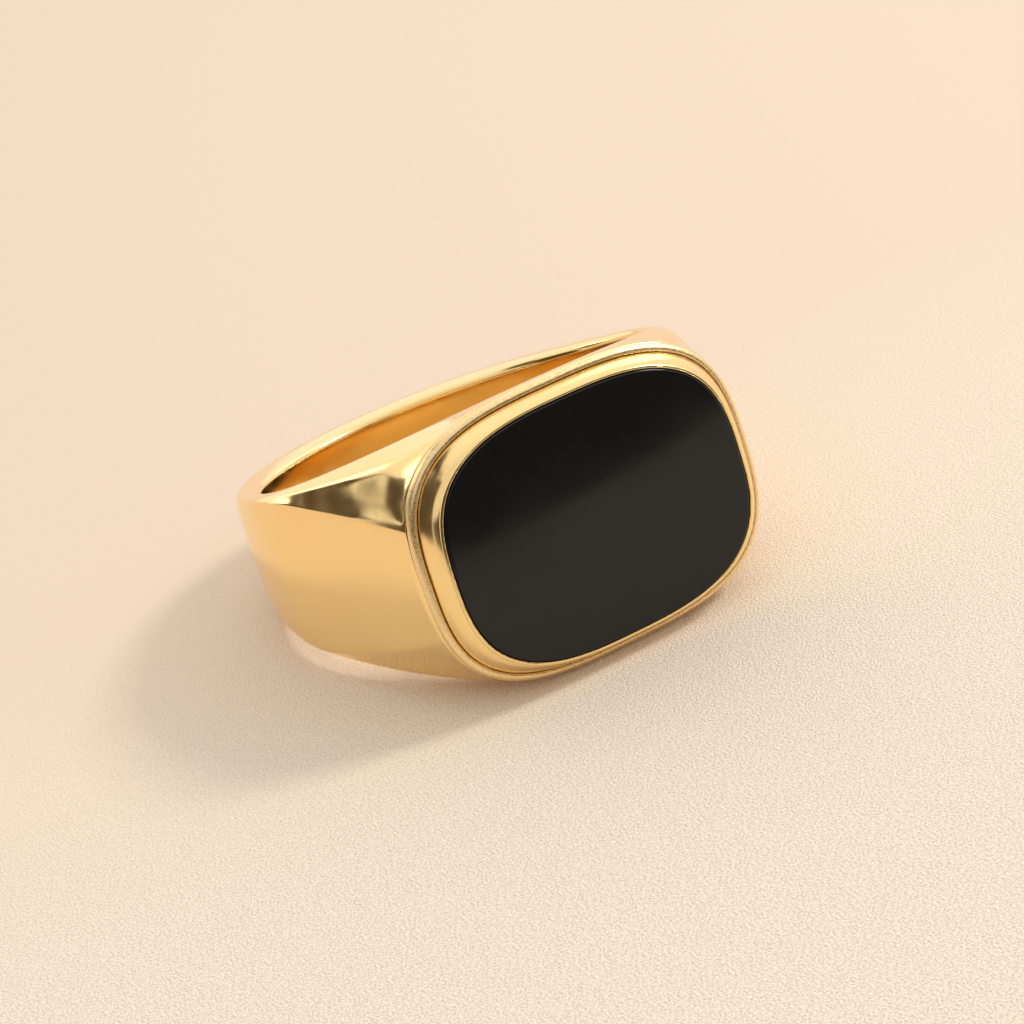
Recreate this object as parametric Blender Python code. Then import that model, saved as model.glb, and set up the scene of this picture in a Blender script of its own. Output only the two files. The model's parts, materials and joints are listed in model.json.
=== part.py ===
"""Signet ring: a cast shank with a cushion-shaped head, a satin step wire, a bezel cup,
a cement bed and a black onyx tablet.

Dimensions are in millimetres and become metres when a mesh is made. The ring's own axes
are: Z along the finger bore, the head towards -Y, the shoulders towards -X and +X.
An empty then tips the ring into the pose in which it rests on a flat surface.
"""

from math import atan2, copysign, cos, hypot, pi, radians, sin

import bmesh
import bpy
from mathutils import Matrix, Vector

MM = 0.001

# Shank
BORE_RADIUS = 9.25
BORE_EDGE_RADIUS = 0.3
HEAD_HALF_WIDTH = 6.0
SIDE_HALF_WIDTH = 3.55
BACK_HALF_WIDTH = 2.27
TABLE_HEIGHT = 10.4  # from the bore's axis to the flat top of the head
SIDE_RADIUS = 10.3  # outside of the shank beside the finger
BACK_RADIUS = 11.2  # outside of the shank behind the finger
BACK_POWER = 2.2
OUTER_EDGE_RADIUS = 0.42
TABLE_EDGE = 0.14
CROWN = 0.1  # how far the outer face of the shoulders is domed

# Head outlines: superellipses given as half length, half width and power
STEP_LINE = (7.92, 5.97, 3.02)  # centre of the step wire
STONE_LINE = (7.01, 5.3, 2.88)  # edge of the stone
TABLE_OVERHANG = 0.22  # how far the head reaches beyond the step line

# Corner facets
STRAIGHT_EDGE = radians(68)  # the head's long edge is straight up to here, seen from its centre
CORNER_START = radians(46)  # where a corner of the head begins
CORNER_END = radians(18)
SHOULDER_BULGE = -1.8  # height at which the shoulder's two end tangents meet
FACET_TIP = 0.8  # how far down the shoulder the facet ends
CREST_RISE = 0.35  # how far the facet's inner edge bows away from the bore's middle
BAND_BEND = (8.3, -8.9, 4.7)  # control point of the facet's outer edge
FACET_HOLLOW = 0.04  # depth of the hollow in a facet, as a share of its width

# Setting
FIT_GAP = 0.05
WIRE_PROFILE = (  # offset from the step line and height above the table
    (-0.17, 0.0),
    (0.17, 0.0),
    (0.17, 0.12),
    (0.12, 0.29),
    (0.0, 0.38),
    (-0.1, 0.39),
    (-0.17, 0.36),
)
BEZEL_INSET = 0.22  # from the step line to the outside of the bezel cup
BEZEL_PROFILE = ((0.0, 0.0), (0.0, 0.26), (0.28, 0.55), (0.58, 0.79), (0.84, 0.94), (1.0, 1.0))
BEZEL_FLOOR = 0.25
LIP_HEIGHT = 11.69
LIP_WIDTH = 0.1
CEMENT_THICKNESS = 0.15
CEMENT_INSET = 0.15
STONE_RIM = 0.12  # radius round the top of the stone
STONE_HEIGHT = 11.76

OUTLINE_POINTS = 72
STRAIGHT_STEPS = 4
CORNER_STEPS = 5
FACET_STEPS = 6
BACK_STEPS = 12


def clear_scene():
    for thing in list(bpy.data.objects):
        bpy.data.objects.remove(thing, do_unlink=True)


def principled(name, colour, roughness, metallic):
    material = bpy.data.materials.new(name)
    material.use_nodes = True
    shader = material.node_tree.nodes["Principled BSDF"]
    shader.inputs["Base Color"].default_value = (*colour, 1.0)
    shader.inputs["Roughness"].default_value = roughness
    shader.inputs["Metallic"].default_value = metallic
    return material


def make_object(name, sections, material, parent, closed):
    """Skin rings of points, each ring a closed loop. An open stack gets a flat cap at each end."""
    bm = bmesh.new()
    rings = [[bm.verts.new(Vector(point) * MM) for point in section] for section in sections]
    pairs = list(zip(rings, rings[1:]))
    if closed:
        pairs.append((rings[-1], rings[0]))
    else:
        bm.faces.new(rings[0])
        bm.faces.new(rings[-1])
    for near, far in pairs:
        for index in range(len(near)):
            after = (index + 1) % len(near)
            bm.faces.new((near[index], near[after], far[after], far[index]))
    bmesh.ops.recalc_face_normals(bm, faces=bm.faces)
    mesh = bpy.data.meshes.new(name)
    bm.to_mesh(mesh)
    bm.free()
    mesh.materials.append(material)
    thing = bpy.data.objects.new(name, mesh)
    bpy.context.scene.collection.objects.link(thing)
    thing.parent = parent
    return thing


def mix(start, end, share):
    return [a + (b - a) * share for a, b in zip(start, end)]


def bezier(start, control, end, share):
    return mix(mix(start, control, share), mix(control, end, share), share)


def outline_point(line, angle, offset=0.0):
    """Point (x, z) of a head outline in the direction of angle, moved outward by offset."""
    half_length, half_width, power = line
    across = abs(cos(angle) / half_length) ** power
    along = abs(sin(angle) / half_width) ** power
    radius = (across + along) ** (-1 / power)
    x = radius * cos(angle)
    z = radius * sin(angle)
    steep_x = copysign(abs(x / half_length) ** (power - 1) / half_length, x)
    steep_z = copysign(abs(z / half_width) ** (power - 1) / half_width, z)
    steep = (steep_x**2 + steep_z**2) ** 0.5
    return x + offset * steep_x / steep, z + offset * steep_z / steep


def outline_ring(line, offset, height):
    """A head outline as a closed ring of points, height above the bore's axis."""
    turns = [2 * pi * index / OUTLINE_POINTS for index in range(OUTLINE_POINTS)]
    points = [outline_point(line, turn, offset) for turn in turns]
    return [(x, -height, z) for x, z in points]


# Shank: half sections run from the middle of the bore, over the side face, to the middle
# of the outside. The ring's other quarters are mirrored from them.


def half_width(angle):
    """Half width of the shank at the bore, by angle round the bore from the head."""
    rise = cos(angle)
    taper = (HEAD_HALF_WIDTH - BACK_HALF_WIDTH) / 2
    sweep = (HEAD_HALF_WIDTH + BACK_HALF_WIDTH) / 2 - SIDE_HALF_WIDTH
    return SIDE_HALF_WIDTH + taper * rise + sweep * rise * rise


def at_angle(angle, radius, z):
    return (radius * sin(angle), -radius * cos(angle), z)


def bore_points(angle):
    edge = half_width(angle)
    soft = BORE_EDGE_RADIUS
    return [
        at_angle(angle, BORE_RADIUS, 0.0),
        at_angle(angle, BORE_RADIUS, edge - soft),
        at_angle(angle, BORE_RADIUS + 0.3 * soft, edge - 0.3 * soft),
        at_angle(angle, BORE_RADIUS + soft, edge),
    ]


def shoulder_point(share):
    """Point (x, y) of the shoulder's profile, from the head's end (0) to beside the finger (1)."""
    head_end, _ = outline_point(STEP_LINE, 0.0, TABLE_OVERHANG)
    return bezier((head_end, -TABLE_HEIGHT), (SIDE_RADIUS, SHOULDER_BULGE), (SIDE_RADIUS, 0.0), share)


def facet_tip():
    x, y = shoulder_point(FACET_TIP)
    return (x, y, half_width(atan2(x, -y)) - 0.75 * OUTER_EDGE_RADIUS)


def band_edge(share):
    """Edge between the side face and the corner facet, from the head's corner to the tip."""
    x, z = outline_point(STEP_LINE, CORNER_START, TABLE_OVERHANG)
    tip_x, tip_y, tip_z = facet_tip()
    inner_tip = (tip_x - 0.4 * OUTER_EDGE_RADIUS, tip_y, tip_z + 0.5 * OUTER_EDGE_RADIUS)
    return bezier((x, TABLE_EDGE - TABLE_HEIGHT, z), BAND_BEND, inner_tip, share)


def facet_share(step):
    return step / (CORNER_STEPS + FACET_STEPS)


def straight_section(angle):
    """Under the head's long edge, which is straight in its middle, so that the ring lies still."""
    x, z = outline_point(STEP_LINE, angle, TABLE_OVERHANG)
    _, flat_z = outline_point(STEP_LINE, STRAIGHT_EDGE, TABLE_OVERHANG)
    z = min(z, flat_z)
    return bore_points(atan2(x, TABLE_HEIGHT)) + [
        (x, TABLE_EDGE - TABLE_HEIGHT, z),
        (x, 0.5 * TABLE_EDGE - TABLE_HEIGHT, z),
        (x, -TABLE_HEIGHT, z),
        (x, -TABLE_HEIGHT, z / 2),
        (x, -TABLE_HEIGHT, 0.0),
    ]


def hollow_point(band, top):
    """Middle of the facet, a little below the straight line between its two edges."""
    x, y, z = mix(band, top, 0.5)
    rise = hypot(*top[:2]) - hypot(*band[:2])
    drop = band[2] - top[2]
    inward = 1 - FACET_HOLLOW * drop / hypot(x, y)
    return (x * inward, y * inward, z - FACET_HOLLOW * rise)


def faceted_section(step, top, middle, centre):
    band = band_edge(facet_share(step))
    facet = hollow_point(band, top)
    return bore_points(atan2(band[0], -band[1])) + [band, facet, top, middle, centre]


def corner_section(step):
    """Under a rounded corner of the head, where the facet fills out below the table."""
    angle = CORNER_START + (CORNER_END - CORNER_START) * step / CORNER_STEPS
    x, z = outline_point(STEP_LINE, angle, TABLE_OVERHANG)
    if step == CORNER_STEPS:
        middle_x, middle_z = outline_point(STEP_LINE, angle / 2, TABLE_OVERHANG)
        centre_x, _ = outline_point(STEP_LINE, 0.0, TABLE_OVERHANG)
    else:
        middle_x, middle_z = x, z / 2
        centre_x = x
    top = (x, -TABLE_HEIGHT, z)
    middle = (middle_x, -TABLE_HEIGHT, middle_z)
    return faceted_section(step, top, middle, (centre_x, -TABLE_HEIGHT, 0.0))


def facet_section(step):
    """Down the shoulder, where the facet narrows to its tip."""
    down = step / FACET_STEPS
    x, y = shoulder_point(FACET_TIP * down)
    _, head_z = outline_point(STEP_LINE, CORNER_END, TABLE_OVERHANG)
    crest = head_z + (facet_tip()[2] - head_z) * down + CREST_RISE * (1 - (2 * down - 1) ** 4)
    outward = CROWN * min(1.0, 2 * down)
    top = (x, y, crest)
    middle = (x + 0.75 * outward, y, crest / 2)
    return faceted_section(CORNER_STEPS + step, top, middle, (x + outward, y, 0.0))


def plain_section(angle, radius):
    """Beside and behind the finger, where the outer edges are simply rounded."""
    edge = half_width(angle)
    soft = OUTER_EDGE_RADIUS
    return bore_points(angle) + [
        at_angle(angle, radius - soft, edge),
        at_angle(angle, radius - 0.3 * soft, edge - 0.3 * soft),
        at_angle(angle, radius, edge - soft),
        at_angle(angle, radius + 0.75 * CROWN, (edge - soft) / 2),
        at_angle(angle, radius + CROWN, 0.0),
    ]


def back_radius(angle):
    beside = abs(sin(angle) / SIDE_RADIUS) ** BACK_POWER
    behind = abs(cos(angle) / BACK_RADIUS) ** BACK_POWER
    return (beside + behind) ** (-1 / BACK_POWER)


def shank_sections():
    halves = []
    for step in range(STRAIGHT_STEPS):
        angle = pi / 2 + (CORNER_START - pi / 2) * step / STRAIGHT_STEPS
        halves.append(straight_section(angle))
    for step in range(CORNER_STEPS + 1):
        halves.append(corner_section(step))
    for step in range(1, FACET_STEPS + 1):
        halves.append(facet_section(step))
    for step in range(BACK_STEPS + 1):
        angle = pi / 2 + pi / 2 * step / BACK_STEPS
        halves.append(plain_section(angle, back_radius(angle)))
    whole = [half + [(x, y, -z) for x, y, z in half[-2:0:-1]] for half in halves]
    mirrored = [[(-x, y, z) for x, y, z in section] for section in whole[-2:0:-1]]
    return whole + mirrored


def make_shank(parent):
    gold = principled("shank_gold", (0.86, 0.58, 0.24), 0.16, 1.0)
    return make_object("shank", shank_sections(), gold, parent, closed=True)


def make_step_wire(parent):
    gold = principled("step_wire_satin_gold", (0.80, 0.62, 0.36), 0.42, 1.0)
    bottom = TABLE_HEIGHT + FIT_GAP
    rings = [outline_ring(STEP_LINE, offset, bottom + rise) for offset, rise in WIRE_PROFILE]
    return make_object("step_wire", rings, gold, parent, closed=True)


def wall_ring(share, height):
    """A ring of the bezel's outside, between its foot (share 0) and its lip's edge (share 1)."""
    foot = outline_ring(STEP_LINE, -BEZEL_INSET, height)
    lip = outline_ring(STONE_LINE, FIT_GAP + LIP_WIDTH, height)
    return [mix(low, high, share) for low, high in zip(foot, lip)]


def make_bezel_cup(parent):
    gold = principled("bezel_gold", (0.88, 0.62, 0.28), 0.12, 1.0)
    bottom = TABLE_HEIGHT + FIT_GAP
    rise = LIP_HEIGHT - bottom
    rings = [wall_ring(share, bottom + rise * up) for share, up in BEZEL_PROFILE]
    rings.append(outline_ring(STONE_LINE, FIT_GAP, LIP_HEIGHT))
    rings.append(outline_ring(STONE_LINE, FIT_GAP, bottom + BEZEL_FLOOR))
    return make_object("bezel_cup", rings, gold, parent, closed=False)


def make_stone_cement(parent):
    resin = principled("cement_resin", (0.55, 0.50, 0.42), 0.7, 0.0)
    bottom = TABLE_HEIGHT + FIT_GAP + BEZEL_FLOOR + FIT_GAP
    heights = (bottom, bottom + CEMENT_THICKNESS)
    rings = [outline_ring(STONE_LINE, -CEMENT_INSET, height) for height in heights]
    return make_object("stone_cement", rings, resin, parent, closed=False)


def make_onyx_inlay(parent):
    onyx = principled("black_onyx", (0.008, 0.008, 0.008), 0.06, 0.0)
    cement_top = TABLE_HEIGHT + BEZEL_FLOOR + CEMENT_THICKNESS + 2 * FIT_GAP
    rings = [
        outline_ring(STONE_LINE, 0.0, cement_top + FIT_GAP),
        outline_ring(STONE_LINE, 0.0, STONE_HEIGHT - 0.5 * STONE_RIM),
        outline_ring(STONE_LINE, -0.3 * STONE_RIM, STONE_HEIGHT - 0.15 * STONE_RIM),
        outline_ring(STONE_LINE, -STONE_RIM, STONE_HEIGHT),
    ]
    return make_object("onyx_inlay", rings, onyx, parent, closed=False)


def resting_tilt(points):
    """Tip at which the head's lower edge and the shank's back touch one level surface."""
    low, high = 0.0, pi / 4
    for _ in range(50):
        tilt = (low + high) / 2
        level = [(y, z * cos(tilt) - y * sin(tilt)) for _, y, z in points]
        head = min(z for y, z in level if y < 0)
        back = min(z for y, z in level if y > 0)
        if head < back:
            low = tilt
        else:
            high = tilt
    return tilt


def stand_on_floor(stand, pieces):
    """Tip the ring to its resting pose, centred over the origin with its lowest point at z = 0."""
    points = [vertex.co for piece in pieces for vertex in piece.data.vertices]
    turn = -resting_tilt(points)
    turned = [Matrix.Rotation(turn, 3, "X") @ point for point in points]
    xs, ys, zs = zip(*turned)
    stand.rotation_euler.x = turn
    stand.location = (-(min(xs) + max(xs)) / 2, -(min(ys) + max(ys)) / 2, -min(zs))


def main():
    clear_scene()
    stand = bpy.data.objects.new("resting_pose", None)
    bpy.context.scene.collection.objects.link(stand)
    pieces = [
        make_shank(stand),
        make_step_wire(stand),
        make_bezel_cup(stand),
        make_stone_cement(stand),
        make_onyx_inlay(stand),
    ]
    stand_on_floor(stand, pieces)
    bpy.context.view_layer.update()


main()
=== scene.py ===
"""Looks of the signet ring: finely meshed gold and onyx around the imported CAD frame.

Pieces are shaped in the ring's own axes, in millimetres: Z along the finger bore, the
head towards -Y. The record's mounts say where those axes lie in the frame.
"""

import json

from math import atan2, copysign, cos, hypot, pi, radians, sin

import bmesh
import bpy
from mathutils import Matrix, Vector


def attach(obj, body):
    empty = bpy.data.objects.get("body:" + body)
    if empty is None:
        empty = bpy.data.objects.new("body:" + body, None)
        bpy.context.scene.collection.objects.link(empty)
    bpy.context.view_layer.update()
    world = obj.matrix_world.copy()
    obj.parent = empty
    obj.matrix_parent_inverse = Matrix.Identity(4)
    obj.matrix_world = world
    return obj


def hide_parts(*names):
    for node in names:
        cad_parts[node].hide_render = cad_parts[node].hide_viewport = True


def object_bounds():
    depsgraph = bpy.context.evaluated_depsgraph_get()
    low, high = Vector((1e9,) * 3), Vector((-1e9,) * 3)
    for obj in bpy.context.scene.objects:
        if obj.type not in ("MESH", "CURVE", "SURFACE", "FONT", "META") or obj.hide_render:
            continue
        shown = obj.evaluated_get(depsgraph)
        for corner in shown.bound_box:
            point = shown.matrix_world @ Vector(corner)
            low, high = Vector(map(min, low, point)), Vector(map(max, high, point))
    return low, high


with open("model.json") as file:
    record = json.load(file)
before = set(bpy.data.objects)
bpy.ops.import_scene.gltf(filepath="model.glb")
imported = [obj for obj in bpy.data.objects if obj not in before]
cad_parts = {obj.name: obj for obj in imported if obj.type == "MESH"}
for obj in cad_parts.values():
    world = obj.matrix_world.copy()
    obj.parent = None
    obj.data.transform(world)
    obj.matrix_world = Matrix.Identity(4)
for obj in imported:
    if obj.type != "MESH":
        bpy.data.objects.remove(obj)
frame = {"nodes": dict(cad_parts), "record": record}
cad_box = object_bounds()

MM = 0.001

# Ring sizes, the same as in the CAD
BORE_RADIUS = 9.25
BORE_EDGE_RADIUS = 0.3
HEAD_HALF_WIDTH = 6.0
SIDE_HALF_WIDTH = 3.55
BACK_HALF_WIDTH = 2.27
TABLE_HEIGHT = 10.4
SIDE_RADIUS = 10.3
BACK_RADIUS = 11.2
BACK_POWER = 2.2
OUTER_EDGE_RADIUS = 0.42
TABLE_EDGE = 0.14
CROWN = 0.1

STEP_LINE = (7.92, 5.97, 3.02)
STONE_LINE = (7.01, 5.3, 2.88)
TABLE_OVERHANG = 0.22

STRAIGHT_EDGE = radians(68)
CORNER_START = radians(46)
CORNER_END = radians(18)
SHOULDER_BULGE = -1.8
FACET_TIP = 0.8
CREST_RISE = 0.35
BAND_BEND = (8.3, -8.9, 4.7)
FACET_HOLLOW = 0.04

FIT_GAP = 0.05
WIRE_PROFILE = (  # offset from the step line and height above the table
    (-0.17, 0.0),
    (0.17, 0.0),
    (0.17, 0.12),
    (0.12, 0.29),
    (0.0, 0.38),
    (-0.1, 0.39),
    (-0.17, 0.36),
)
BEZEL_INSET = 0.22
BEZEL_PROFILE = ((0.0, 0.0), (0.0, 0.26), (0.28, 0.55), (0.58, 0.79), (0.84, 0.94), (1.0, 1.0))
BEZEL_FLOOR = 0.25
LIP_HEIGHT = 11.69
LIP_WIDTH = 0.1
CEMENT_THICKNESS = 0.15
STONE_RIM = 0.12
STONE_HEIGHT = 11.76

STRAIGHT_STEPS = 4
CORNER_STEPS = 5
FACET_STEPS = 6
BACK_STEPS = 12

# Finer than the CAD
OUTLINE_POINTS = 360
CORNER_POINTS = 6
STONE_RIM_STEPS = 8
SHANK_SUBDIVISIONS = 3
WIRE_ROUNDING = 0.05
WALL_ROUNDING = 0.1
LIP_ROUNDING = 0.04
WALL_WIDTH = 0.5  # mean width of the bezel's sloping wall

# How sharp the shank's edges stay when it is smoothed, and where they lie in a section
TABLE_CREASE = 0.85
CREST_CREASE = 0.7
BAND_CREASE = 0.4
BAND_POINT = 4
CREST_POINT = 6

# Stage: sizes in metres
FLOOR_HALF_WIDTH = 1.5
FLOOR_DROP = 0.00002  # below the CAD box, so that no faces coincide
BRIGHT_SIDE = (0.2, 0.85, 0.5)  # towards the brighter part of the room
DAYLIGHT = (1.0, 0.94, 0.86)
DARK_CARD = (0.07, 0.055, 0.04)

# Camera, in millimetres from the middle of the bore
CAMERA_AZIMUTH = radians(-24.1)
CAMERA_ELEVATION = radians(25.8)
CAMERA_ROLL = radians(14.0)
CAMERA_DISTANCE = 139.6
CAMERA_AIM = (-0.70, -4.37, 0.22)
CAMERA_LENS = 112.5


def mount(name):
    return next(m for m in frame["record"]["mounts"] if m["name"] == name)


def ring_axes():
    """The ring's own axes in the frame: the finger mount gives the bore's middle and direction."""
    finger = mount("finger")
    z = Vector(finger["axis"]).normalized()
    x = Vector((1, 0, 0))
    turned = Matrix((x, z.cross(x), z)).transposed().to_4x4()
    return Matrix.Translation(Vector(finger["pos_m"])) @ turned


RING = ring_axes()


# Shapes shared with the CAD


def mix(start, end, share):
    return [a + (b - a) * share for a, b in zip(start, end)]


def bezier(start, control, end, share):
    return mix(mix(start, control, share), mix(control, end, share), share)


def outline_point(line, angle, offset=0.0):
    """Point (x, z) of a head outline in the direction of angle, moved outward by offset."""
    half_length, half_width, power = line
    across = abs(cos(angle) / half_length) ** power
    along = abs(sin(angle) / half_width) ** power
    radius = (across + along) ** (-1 / power)
    x = radius * cos(angle)
    z = radius * sin(angle)
    steep_x = copysign(abs(x / half_length) ** (power - 1) / half_length, x)
    steep_z = copysign(abs(z / half_width) ** (power - 1) / half_width, z)
    steep = (steep_x**2 + steep_z**2) ** 0.5
    return x + offset * steep_x / steep, z + offset * steep_z / steep


def outline_ring(line, offset, height):
    turns = [2 * pi * index / OUTLINE_POINTS for index in range(OUTLINE_POINTS)]
    points = [outline_point(line, turn, offset) for turn in turns]
    return [(x, -height, z) for x, z in points]


def half_width(angle):
    rise = cos(angle)
    taper = (HEAD_HALF_WIDTH - BACK_HALF_WIDTH) / 2
    sweep = (HEAD_HALF_WIDTH + BACK_HALF_WIDTH) / 2 - SIDE_HALF_WIDTH
    return SIDE_HALF_WIDTH + taper * rise + sweep * rise * rise


def at_angle(angle, radius, z):
    return (radius * sin(angle), -radius * cos(angle), z)


def bore_points(angle):
    edge = half_width(angle)
    soft = BORE_EDGE_RADIUS
    return [
        at_angle(angle, BORE_RADIUS, 0.0),
        at_angle(angle, BORE_RADIUS, edge - soft),
        at_angle(angle, BORE_RADIUS + 0.3 * soft, edge - 0.3 * soft),
        at_angle(angle, BORE_RADIUS + soft, edge),
    ]


def shoulder_point(share):
    head_end, _ = outline_point(STEP_LINE, 0.0, TABLE_OVERHANG)
    return bezier((head_end, -TABLE_HEIGHT), (SIDE_RADIUS, SHOULDER_BULGE), (SIDE_RADIUS, 0.0), share)


def facet_tip():
    x, y = shoulder_point(FACET_TIP)
    return (x, y, half_width(atan2(x, -y)) - 0.75 * OUTER_EDGE_RADIUS)


def band_edge(share):
    x, z = outline_point(STEP_LINE, CORNER_START, TABLE_OVERHANG)
    tip_x, tip_y, tip_z = facet_tip()
    inner_tip = (tip_x - 0.4 * OUTER_EDGE_RADIUS, tip_y, tip_z + 0.5 * OUTER_EDGE_RADIUS)
    return bezier((x, TABLE_EDGE - TABLE_HEIGHT, z), BAND_BEND, inner_tip, share)


def facet_share(step):
    return step / (CORNER_STEPS + FACET_STEPS)


def straight_section(angle):
    x, z = outline_point(STEP_LINE, angle, TABLE_OVERHANG)
    _, flat_z = outline_point(STEP_LINE, STRAIGHT_EDGE, TABLE_OVERHANG)
    z = min(z, flat_z)
    return bore_points(atan2(x, TABLE_HEIGHT)) + [
        (x, TABLE_EDGE - TABLE_HEIGHT, z),
        (x, 0.5 * TABLE_EDGE - TABLE_HEIGHT, z),
        (x, -TABLE_HEIGHT, z),
        (x, -TABLE_HEIGHT, z / 2),
        (x, -TABLE_HEIGHT, 0.0),
    ]


def hollow_point(band, top):
    x, y, z = mix(band, top, 0.5)
    rise = hypot(*top[:2]) - hypot(*band[:2])
    drop = band[2] - top[2]
    inward = 1 - FACET_HOLLOW * drop / hypot(x, y)
    return (x * inward, y * inward, z - FACET_HOLLOW * rise)


def faceted_section(step, top, middle, centre):
    band = band_edge(facet_share(step))
    facet = hollow_point(band, top)
    return bore_points(atan2(band[0], -band[1])) + [band, facet, top, middle, centre]


def corner_section(step):
    angle = CORNER_START + (CORNER_END - CORNER_START) * step / CORNER_STEPS
    x, z = outline_point(STEP_LINE, angle, TABLE_OVERHANG)
    if step == CORNER_STEPS:
        middle_x, middle_z = outline_point(STEP_LINE, angle / 2, TABLE_OVERHANG)
        centre_x, _ = outline_point(STEP_LINE, 0.0, TABLE_OVERHANG)
    else:
        middle_x, middle_z = x, z / 2
        centre_x = x
    top = (x, -TABLE_HEIGHT, z)
    middle = (middle_x, -TABLE_HEIGHT, middle_z)
    return faceted_section(step, top, middle, (centre_x, -TABLE_HEIGHT, 0.0))


def facet_section(step):
    down = step / FACET_STEPS
    x, y = shoulder_point(FACET_TIP * down)
    _, head_z = outline_point(STEP_LINE, CORNER_END, TABLE_OVERHANG)
    crest = head_z + (facet_tip()[2] - head_z) * down + CREST_RISE * (1 - (2 * down - 1) ** 4)
    outward = CROWN * min(1.0, 2 * down)
    top = (x, y, crest)
    middle = (x + 0.75 * outward, y, crest / 2)
    return faceted_section(CORNER_STEPS + step, top, middle, (x + outward, y, 0.0))


def plain_section(angle, radius):
    edge = half_width(angle)
    soft = OUTER_EDGE_RADIUS
    return bore_points(angle) + [
        at_angle(angle, radius - soft, edge),
        at_angle(angle, radius - 0.3 * soft, edge - 0.3 * soft),
        at_angle(angle, radius, edge - soft),
        at_angle(angle, radius + 0.75 * CROWN, (edge - soft) / 2),
        at_angle(angle, radius + CROWN, 0.0),
    ]


def back_radius(angle):
    beside = abs(sin(angle) / SIDE_RADIUS) ** BACK_POWER
    behind = abs(cos(angle) / BACK_RADIUS) ** BACK_POWER
    return (beside + behind) ** (-1 / BACK_POWER)


def shank_sections():
    halves = []
    for step in range(STRAIGHT_STEPS):
        angle = pi / 2 + (CORNER_START - pi / 2) * step / STRAIGHT_STEPS
        halves.append(straight_section(angle))
    for step in range(CORNER_STEPS + 1):
        halves.append(corner_section(step))
    for step in range(1, FACET_STEPS + 1):
        halves.append(facet_section(step))
    for step in range(BACK_STEPS + 1):
        angle = pi / 2 + pi / 2 * step / BACK_STEPS
        halves.append(plain_section(angle, back_radius(angle)))
    whole = [half + [(x, y, -z) for x, y, z in half[-2:0:-1]] for half in halves]
    mirrored = [[(-x, y, z) for x, y, z in section] for section in whole[-2:0:-1]]
    return whole + mirrored


# Mesh making


def skin(name, sections, material, closed):
    """Skin rings of points into a smooth-shaded piece. An open stack gets a cap at each end."""
    bm = bmesh.new()
    rings = [[bm.verts.new(RING @ (Vector(point) * MM)) for point in section] for section in sections]
    pairs = list(zip(rings, rings[1:]))
    if closed:
        pairs.append((rings[-1], rings[0]))
    else:
        bm.faces.new(rings[0])
        bm.faces.new(rings[-1])
    for near, far in pairs:
        for index in range(len(near)):
            after = (index + 1) % len(near)
            bm.faces.new((near[index], near[after], far[after], far[index]))
    bmesh.ops.recalc_face_normals(bm, faces=bm.faces)
    mesh = bpy.data.meshes.new(name)
    bm.to_mesh(mesh)
    bm.free()
    mesh.polygons.foreach_set("use_smooth", [True] * len(mesh.polygons))
    mesh.materials.append(material)
    piece = bpy.data.objects.new(name, mesh)
    bpy.context.scene.collection.objects.link(piece)
    return piece


def lengthwise_creases(station, stations):
    """Creases of the edges that run from one station to the next: (point, sharpness) pairs."""
    head_end = STRAIGHT_STEPS + CORNER_STEPS
    tip = head_end + FACET_STEPS
    places = [min(end, stations - end) for end in (station, station + 1)]
    on_facet = min(places) >= STRAIGHT_STEPS and max(places) <= tip
    creases = []
    if max(places) <= head_end:
        creases.append((CREST_POINT, TABLE_CREASE))
    elif on_facet:
        creases.append((CREST_POINT, CREST_CREASE))
    if on_facet:
        creases.append((BAND_POINT, BAND_CREASE))
    return creases


def crease_shank(mesh, sections):
    """Sharpen the table's outline, the facet crests and the facets' outer edges."""
    stations = len(sections)
    count = len(sections[0])
    creases = {}
    for station in range(stations):
        after = (station + 1) % stations
        for point, sharpness in lengthwise_creases(station, stations):
            for index in (point, count - point):
                edge = (station * count + index, after * count + index)
                creases[frozenset(edge)] = sharpness
    head_end = STRAIGHT_STEPS + CORNER_STEPS
    for station in (head_end, stations - head_end):
        for index in range(CREST_POINT, count - CREST_POINT):
            first = station * count + index
            creases[frozenset((first, first + 1))] = TABLE_CREASE
    values = mesh.attributes.new("crease_edge", "FLOAT", "EDGE")
    for edge in mesh.edges:
        values.data[edge.index].value = creases.get(frozenset(edge.vertices), 0.0)


def make_shank(material):
    sections = shank_sections()
    piece = skin("shank_body", sections, material, closed=True)
    crease_shank(piece.data, sections)
    smooth = piece.modifiers.new("Subdivision", "SUBSURF")
    smooth.levels = smooth.render_levels = SHANK_SUBDIVISIONS
    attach(piece, "root")
    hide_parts("shank")


def rounded(profile, radius, closed):
    """The profile's points with each corner turned into a curve that starts radius from it."""
    count = len(profile)
    made = [] if closed else [profile[0]]
    inner = range(count) if closed else range(1, count - 1)
    for index in inner:
        before, corner, after = profile[index - 1], profile[index], profile[(index + 1) % count]
        ends = []
        for other in (before, after):
            length = hypot(other[0] - corner[0], other[1] - corner[1])
            ends.append(mix(corner, other, min(0.5, radius / length)))
        for step in range(CORNER_POINTS + 1):
            made.append(bezier(ends[0], corner, ends[1], step / CORNER_POINTS))
    return made if closed else made + [profile[-1]]


def make_step_wire(material):
    """The wire, seated on the table without the CAD's gap."""
    profile = rounded(WIRE_PROFILE, WIRE_ROUNDING, closed=True)
    rings = [outline_ring(STEP_LINE, offset, TABLE_HEIGHT + rise) for offset, rise in profile]
    piece = skin("satin_step_wire", rings, material, closed=True)
    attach(piece, "root")
    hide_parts("step_wire")


def wall_ring(share, height):
    """A ring of the bezel's outside. Its foot stands half a gap nearer the wire than in the CAD."""
    foot = outline_ring(STEP_LINE, FIT_GAP / 2 - BEZEL_INSET, height)
    lip = outline_ring(STONE_LINE, FIT_GAP + LIP_WIDTH, height)
    return [mix(low, high, share) for low, high in zip(foot, lip)]


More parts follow.
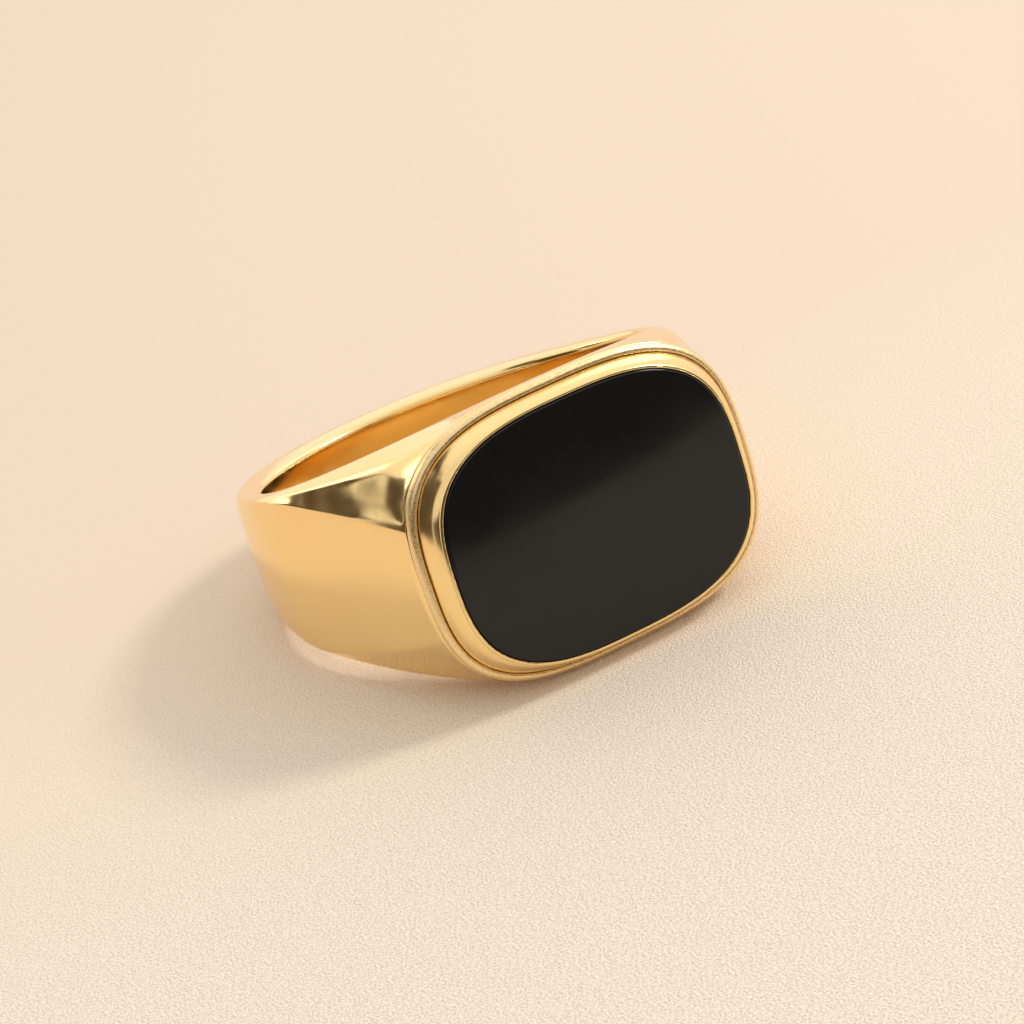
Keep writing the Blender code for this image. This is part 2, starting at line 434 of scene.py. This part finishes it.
def make_bezel(material):
    """Wall, lip and inside of the cup. The wall is rounded in units of its mean width."""
    bottom = TABLE_HEIGHT + FIT_GAP
    rise = LIP_HEIGHT - bottom
    outside = [(share * WALL_WIDTH, up * rise) for share, up in BEZEL_PROFILE]
    outside.append((WALL_WIDTH + LIP_WIDTH, rise))
    outside = rounded(outside, WALL_ROUNDING, closed=False)[:-1]
    lip_middle = (FIT_GAP + LIP_WIDTH / 2, LIP_HEIGHT)
    inside = [lip_middle, (FIT_GAP, LIP_HEIGHT), (FIT_GAP, bottom + BEZEL_FLOOR)]
    inside = rounded(inside, LIP_ROUNDING, closed=False)
    rings = [wall_ring(across / WALL_WIDTH, bottom + up) for across, up in outside]
    rings += [outline_ring(STONE_LINE, offset, height) for offset, height in inside]
    piece = skin("bezel_wall", rings, material, closed=False)
    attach(piece, "root")
    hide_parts("bezel_cup")


def make_stone(material):
    cement_top = TABLE_HEIGHT + BEZEL_FLOOR + CEMENT_THICKNESS + 2 * FIT_GAP
    rings = [outline_ring(STONE_LINE, 0.0, cement_top + FIT_GAP)]
    for step in range(STONE_RIM_STEPS + 1):
        turn = pi / 2 * step / STONE_RIM_STEPS
        inset = STONE_RIM * (1 - cos(turn))
        height = STONE_HEIGHT - 0.5 * STONE_RIM * (1 - sin(turn))
        rings.append(outline_ring(STONE_LINE, -inset, height))
    piece = skin("onyx_tablet", rings, material, closed=False)
    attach(piece, "root")
    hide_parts("onyx_inlay")


# Materials


def new_material(name, colour, roughness, metallic):
    material = bpy.data.materials.new(name)
    material.use_nodes = True
    shader = material.node_tree.nodes["Principled BSDF"]
    shader.inputs["Base Color"].default_value = (*colour, 1.0)
    shader.inputs["Roughness"].default_value = roughness
    shader.inputs["Metallic"].default_value = metallic
    return material, material.node_tree, shader


def node(tree, kind, **settings):
    made = tree.nodes.new(kind)
    for key, value in settings.items():
        setattr(made, key, value)
    return made


def noise(tree, per_mm, detail=4.0):
    """A noise texture in the piece's own axes, with per_mm features in each millimetre."""
    where = node(tree, "ShaderNodeTexCoord")
    mapping = node(tree, "ShaderNodeMapping")
    mapping.inputs["Scale"].default_value = [1 / MM] * 3
    texture = node(tree, "ShaderNodeTexNoise")
    texture.inputs["Scale"].default_value = per_mm
    texture.inputs["Detail"].default_value = detail
    tree.links.new(where.outputs["Object"], mapping.inputs["Vector"])
    tree.links.new(mapping.outputs["Vector"], texture.inputs["Vector"])
    return texture.outputs["Fac"]


def ranged(tree, value, low, high, start=0.35, stop=0.65):
    """The value carried from start..stop, by default a noise's usual spread, to low..high."""
    scale = node(tree, "ShaderNodeMapRange")
    scale.inputs["From Min"].default_value = start
    scale.inputs["From Max"].default_value = stop
    scale.inputs["To Min"].default_value = low
    scale.inputs["To Max"].default_value = high
    tree.links.new(value, scale.inputs["Value"])
    return scale.outputs["Result"]


def bump(tree, shader, height, depth_mm):
    made = node(tree, "ShaderNodeBump")
    made.inputs["Distance"].default_value = depth_mm * MM
    made.inputs["Strength"].default_value = 1.0
    tree.links.new(height, made.inputs["Height"])
    tree.links.new(made.outputs["Normal"], shader.inputs["Normal"])


def polished_gold():
    """Polished gold with faint waves and uneven wear."""
    material, tree, shader = new_material("polished_gold", (1.0, 0.75, 0.35), 0.14, 1.0)
    wear = noise(tree, 0.9, 6.0)
    tree.links.new(ranged(tree, wear, 0.10, 0.19), shader.inputs["Roughness"])
    bump(tree, shader, noise(tree, 0.5, 6.0), 0.006)
    return material


def mixed(tree, share, low, high):
    """A colour between low and high."""
    colours = node(tree, "ShaderNodeMix", data_type="RGBA")
    colours.inputs[6].default_value = (*low, 1.0)
    colours.inputs[7].default_value = (*high, 1.0)
    tree.links.new(share, colours.inputs[0])
    return colours.outputs[2]


def satin_gold():
    """Gold with a fine sandy grain."""
    material, tree, shader = new_material("satin_gold", (0.9, 0.70, 0.42), 0.38, 1.0)
    grain = noise(tree, 9.0, 3.0)
    speckle = mixed(tree, ranged(tree, grain, 0.0, 1.0), (0.94, 0.69, 0.34), (1.0, 0.79, 0.44))
    tree.links.new(speckle, shader.inputs["Base Color"])
    tree.links.new(ranged(tree, grain, 0.26, 0.38), shader.inputs["Roughness"])
    bump(tree, shader, grain, 0.008)
    return material


def black_onyx():
    material, tree, shader = new_material("black_onyx", (0.006, 0.006, 0.006), 0.09, 0.0)
    shader.inputs["IOR"].default_value = 1.54
    shader.inputs["Specular IOR Level"].default_value = 0.31
    haze = noise(tree, 0.4, 3.0)
    tree.links.new(ranged(tree, haze, 0.08, 0.12), shader.inputs["Roughness"])
    return material


def cement():
    material, tree, shader = new_material("cement", (0.55, 0.50, 0.42), 0.7, 0.0)
    tree.links.new(ranged(tree, noise(tree, 3.0), 0.6, 0.8), shader.inputs["Roughness"])
    return material


def floor_material():
    """Sandy paper. Towards the back its grain fades and its colour is painted darker, a painted shade; in
    front of the ring it is painted lighter.
    """
    material, tree, shader = new_material("sandy_paper", (0.84, 0.70, 0.56), 0.85, 0.0)
    where = node(tree, "ShaderNodeTexCoord")
    split = node(tree, "ShaderNodeSeparateXYZ")
    tree.links.new(where.outputs["Object"], split.inputs["Vector"])
    # Painted light and shade: the paper's colour is lighter in front of the ring and darker behind it,
    # set by how far forward each point lies.
    near = ranged(tree, split.outputs["Y"], 1.5, 0.15, -0.016, 0.012)
    grain = noise(tree, 9.0, 2.0)
    grain_and_painted_shade = node(tree, "ShaderNodeMath", operation="MULTIPLY_ADD")
    tree.links.new(ranged(tree, grain, -1.0, 1.0, 0.3, 0.7), grain_and_painted_shade.inputs[0])
    tree.links.new(near, grain_and_painted_shade.inputs[1])
    tree.links.new(near, grain_and_painted_shade.inputs[2])
    share = ranged(tree, grain_and_painted_shade.outputs["Value"], 0.0, 1.0, -1.2, 3.0)
    tree.links.new(mixed(tree, share, (0.66, 0.50, 0.37), (1.0, 0.93, 0.82)), shader.inputs["Base Color"])
    bump(tree, shader, grain_and_painted_shade.outputs["Value"], 0.018)
    return material


# Stage


def flat_card(name, half_x, half_y, material):
    mesh = bpy.data.meshes.new(name)
    corners = [(-half_x, -half_y, 0), (half_x, -half_y, 0), (half_x, half_y, 0), (-half_x, half_y, 0)]
    mesh.from_pydata(corners, [], [(0, 1, 2, 3)])
    mesh.materials.append(material)
    return bpy.data.objects.new(name, mesh)


def make_floor():
    floor = flat_card("floor", FLOOR_HALF_WIDTH, FLOOR_HALF_WIDTH, floor_material())
    floor.location.z = cad_box[0].z - FLOOR_DROP
    bpy.context.scene.collection.objects.link(floor)


def direction(azimuth, elevation):
    """From the ring outwards. Azimuth 0 is in front of it and a right angle is on its right."""
    level = cos(elevation)
    return Vector((sin(azimuth) * level, -cos(azimuth) * level, sin(elevation)))


def place(thing, azimuth, elevation, distance):
    """Stand a lamp or card round the ring, facing it. The angles are in degrees."""
    back = direction(radians(azimuth), radians(elevation))
    thing.location = back * distance
    thing.rotation_euler = back.to_track_quat("Z", "Y").to_euler()
    bpy.context.scene.collection.objects.link(thing)


def area_light(name, azimuth, elevation, distance, size, power, colour):
    lamp = bpy.data.lights.new(name, "AREA")
    lamp.shape = "RECTANGLE"
    lamp.size, lamp.size_y = size
    lamp.energy = power
    lamp.color = colour
    thing = bpy.data.objects.new(name, lamp)
    place(thing, azimuth, elevation, distance)
    return thing


def reflected_light(*settings):
    """A window that only reflections see, so that the floor keeps one soft shadow."""
    area_light(*settings).visible_diffuse = False


def dark_card(name, azimuth, elevation, distance, size):
    """A dark flag that only reflections see, as photographers stand round polished metal."""
    material, _, _ = new_material(name, DARK_CARD, 0.9, 0.0)
    card = flat_card(name, size[0] / 2, size[1] / 2, material)
    place(card, azimuth, elevation, distance)
    card.visible_camera = False
    card.visible_diffuse = False
    card.visible_shadow = False


def make_world():
    """A pale room that is a little brighter behind the ring."""
    world = bpy.data.worlds.new("studio")
    world.use_nodes = True
    tree = world.node_tree
    where = node(tree, "ShaderNodeTexCoord")
    facing = node(tree, "ShaderNodeVectorMath", operation="DOT_PRODUCT")
    facing.inputs[1].default_value = Vector(BRIGHT_SIDE).normalized()
    share = node(tree, "ShaderNodeMapRange", interpolation_type="SMOOTHSTEP")
    share.inputs["From Min"].default_value = 0.1
    share.inputs["From Max"].default_value = 0.95
    share.inputs["To Min"].default_value = 0.83
    share.inputs["To Max"].default_value = 1.12
    background = tree.nodes["Background"]
    background.inputs["Color"].default_value = (1.0, 0.94, 0.88, 1)
    tree.links.new(where.outputs["Generated"], facing.inputs[0])
    tree.links.new(facing.outputs["Value"], share.inputs["Value"])
    tree.links.new(share.outputs["Result"], background.inputs["Strength"])
    bpy.context.scene.world = world


def make_lights():
    make_world()
    area_light("key", 76, 42, 0.5, (0.1, 0.1), 0.96, DAYLIGHT)
    reflected_light("left_window", -150, 24, 0.5, (0.185, 0.16), 0.12, DAYLIGHT)
    reflected_light("back_window", 135, 28, 0.5, (0.2, 0.2), 0.115, DAYLIGHT)
    dark_card("front_flag", -12, 12, 0.068, (0.3, 0.05))
    dark_card("left_flag", -98, 26, 0.12, (0.07, 0.12))
    dark_card("low_flag", -130, 16.5, 0.12, (0.039, 0.051))
    dark_card("high_flag", -135, 57, 0.12, (0.09, 0.022))


def make_camera():
    data = bpy.data.cameras.new("camera")
    data.lens = CAMERA_LENS
    data.sensor_width = 36.0
    data.clip_start = 0.005
    data.clip_end = 10.0
    camera = bpy.data.objects.new("camera", data)
    back = direction(CAMERA_AZIMUTH, CAMERA_ELEVATION)
    right = Vector((cos(CAMERA_AZIMUTH), sin(CAMERA_AZIMUTH), 0))
    up = back.cross(right)
    roll_right = right * cos(CAMERA_ROLL) - up * sin(CAMERA_ROLL)
    roll_up = right * sin(CAMERA_ROLL) + up * cos(CAMERA_ROLL)
    aim = RING.translation + Vector(CAMERA_AIM) * MM
    turned = Matrix((roll_right, roll_up, back)).transposed().to_4x4()
    camera.matrix_world = Matrix.Translation(aim + back * CAMERA_DISTANCE * MM) @ turned
    bpy.context.scene.collection.objects.link(camera)
    bpy.context.scene.camera = camera


gold = polished_gold()
make_shank(gold)
make_step_wire(satin_gold())
make_bezel(gold)
make_stone(black_onyx())
cement_node = frame["nodes"]["stone_cement"]
cement_node.data.materials.clear()
cement_node.data.materials.append(cement())
make_floor()
make_lights()
make_camera()
bpy.context.scene.view_settings.view_transform = "Standard"
